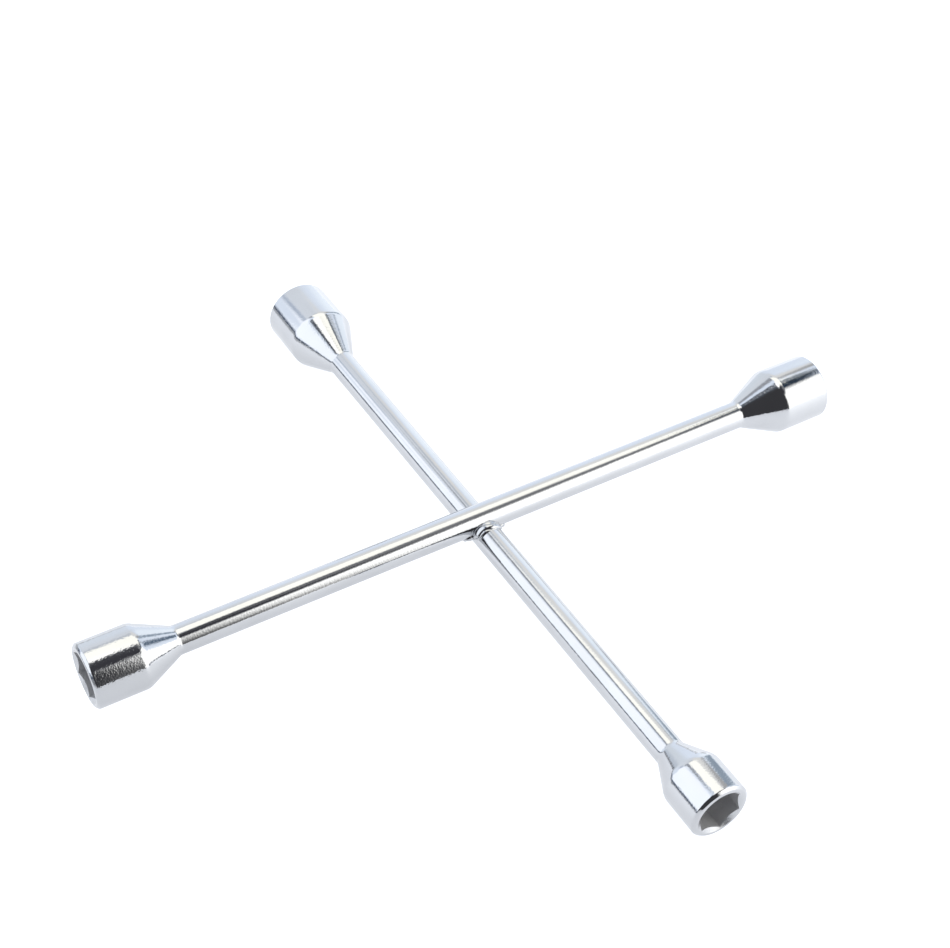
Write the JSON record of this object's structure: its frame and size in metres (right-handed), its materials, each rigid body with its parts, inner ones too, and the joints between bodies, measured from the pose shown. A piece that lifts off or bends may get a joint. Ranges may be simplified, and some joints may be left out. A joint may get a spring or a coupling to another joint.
{
  "type": "lug wrench",
  "caption": "Four-way cross wrench for wheel nuts: two crossed round steel bars welded together, with a hexagon socket of a different size at each end.",
  "frame": {"origin": "on the ground the cross lies on, straight under the point where the bars cross", "axes": "+X along the upper bar towards the 21 mm socket, +Y along the lower bar towards the 23 mm socket, +Z from the lower bar to the upper bar"},
  "size_m": [0.3614, 0.3504, 0.0357],
  "materials": {
    "chrome_bar": "bright plated",
    "chrome_socket": "bright plated with a fine grain",
    "chrome_weld": "plated weld metal, rippled"
  },
  "bodies": {
    "root": {"upper_rod": "chrome_bar", "lower_rod": "chrome_bar", "socket_17": "chrome_socket", "socket_19": "chrome_socket", "socket_21": "chrome_socket", "socket_23": "chrome_socket", "weld_front": "chrome_weld", "weld_left": "chrome_weld", "weld_right": "chrome_weld"}
  },
  "joints": []
}
